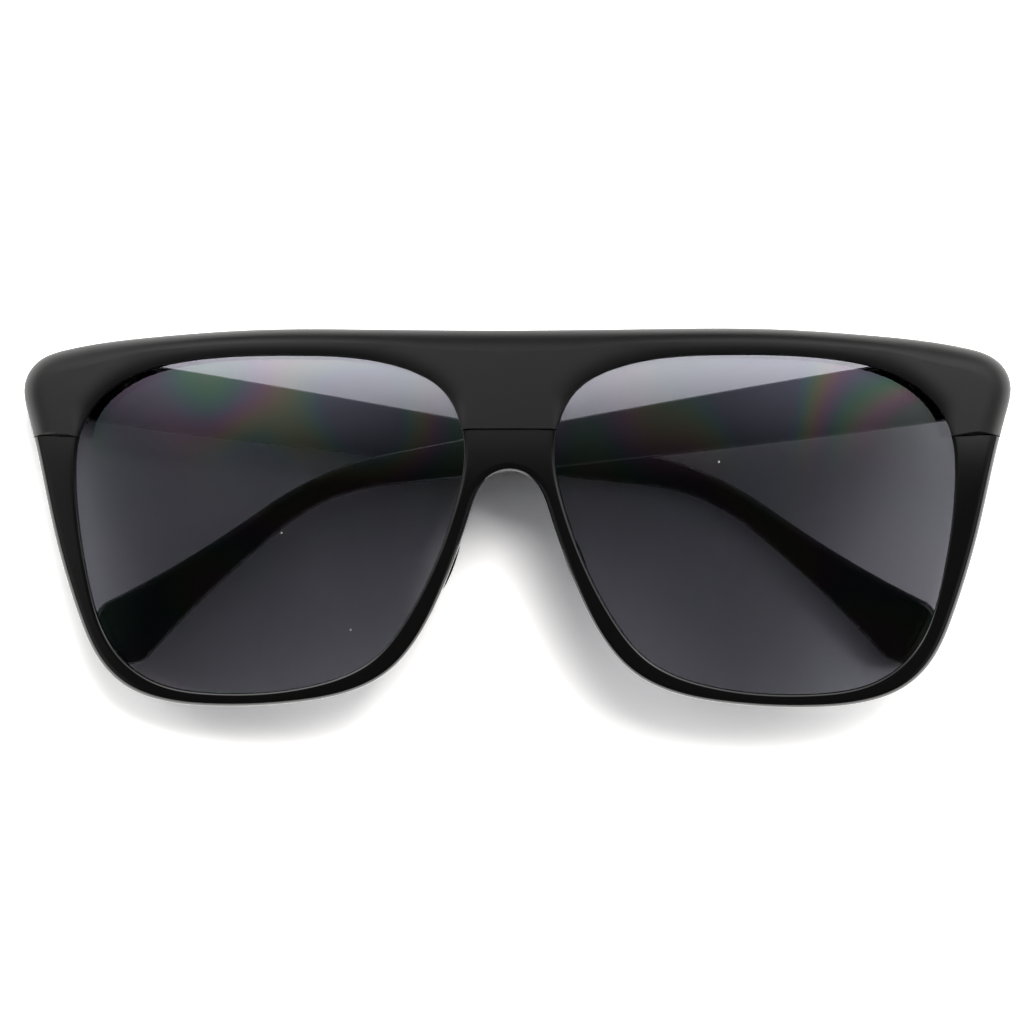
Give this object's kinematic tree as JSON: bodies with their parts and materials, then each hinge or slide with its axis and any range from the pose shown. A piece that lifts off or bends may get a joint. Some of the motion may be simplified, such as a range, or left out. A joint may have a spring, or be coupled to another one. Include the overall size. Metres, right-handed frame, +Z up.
{
  "type": "flat top sunglasses",
  "caption": "Flat top sunglasses with a straight matte brow, deep square tinted lenses, a plain bridge and folding temples, lying folded front up.",
  "frame": {"origin": "on the surface that the folded sunglasses lie on, under the middle of their bounding box", "axes": "+Z up, away from the surface and out of the front of the lenses; +X towards the wearer's left temple hinge; +Y towards the brow"},
  "size_m": [0.1484, 0.0562, 0.0331],
  "materials": {
    "brow_black": "soft matte black",
    "rim_black": "polished black",
    "temple_black": "satin black",
    "pad_black": "smooth black",
    "lens_smoke": "smoke grey tint, faint coating",
    "hinge_metal": "plain nickel silver",
    "screw_metal": "bright steel",
    "core_metal": "drawn wire"
  },
  "bodies": {
    "right_temple": {"temple_right": "temple_black", "temple_core_right": "core_metal", "temple_hinge_leaf_right": "hinge_metal", "temple_leaf_screws_right": "screw_metal"},
    "front": {"front_rim": "rim_black", "brow_cap": "brow_black", "lens_left": "lens_smoke", "nose_pad_left": "pad_black", "front_hinge_leaf_left": "hinge_metal", "front_leaf_screws_left": "screw_metal", "hinge_screw_left": "screw_metal", "lens_right": "lens_smoke", "nose_pad_right": "pad_black", "front_hinge_leaf_right": "hinge_metal", "front_leaf_screws_right": "screw_metal", "hinge_screw_right": "screw_metal"},
    "left_temple": {"temple_left": "temple_black", "temple_core_left": "core_metal", "temple_hinge_leaf_left": "hinge_metal", "temple_leaf_screws_left": "screw_metal"}
  },
  "joints": [
    {"name": "right_hinge", "type": "hinge", "parent": "right_temple", "child": "front", "pos_m": [-0.06689, 0.01999, 0.0065], "axis": [0, -1, 0], "range_deg": [0, 87]},
    {"name": "left_hinge", "type": "hinge", "parent": "front", "child": "left_temple", "pos_m": [0.06732, 0.01999, 0.01353], "axis": [0, -1, 0], "range_deg": [0, 91.5]}
  ]
}
